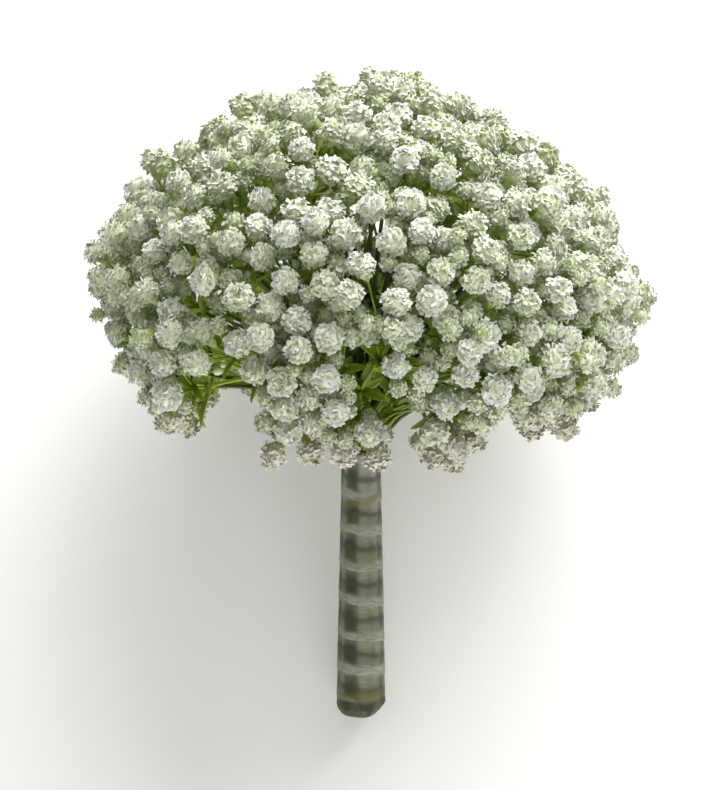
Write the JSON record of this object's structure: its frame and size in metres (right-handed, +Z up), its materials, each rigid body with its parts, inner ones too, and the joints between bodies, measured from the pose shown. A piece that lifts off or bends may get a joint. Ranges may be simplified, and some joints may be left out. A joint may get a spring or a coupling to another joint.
{
  "type": "hand-tied gypsophila bunch",
  "caption": "Domed hand-tied bunch of small double white gypsophila blooms on branching green stems, bound in a ribbon-wrapped handle and lying on its side.",
  "frame": {"origin": "middle of the lying bunch's box, on the floor that it lies on", "axes": "+Z up from the floor, +Y along the floor from the handle's cut end towards the head, +X to the right as seen from the handle"},
  "size_m": [0.25, 0.271, 0.2181],
  "materials": {
    "spray": "matt white petals on satin green stems",
    "ribbon": "semi-sheer satin ribbon",
    "band": "matt"
  },
  "bodies": {
    "root": {"spray_01": "spray", "spray_02": "spray", "spray_03": "spray", "spray_04": "spray", "spray_05": "spray", "spray_06": "spray", "spray_07": "spray", "spray_08": "spray", "spray_09": "spray", "spray_10": "spray", "spray_11": "spray", "spray_12": "spray", "spray_13": "spray", "spray_14": "spray", "spray_15": "spray", "spray_16": "spray", "spray_17": "spray", "spray_18": "spray", "spray_19": "spray", "handle_wrap": "ribbon", "band_lower": "band", "band_upper": "band"}
  },
  "joints": []
}
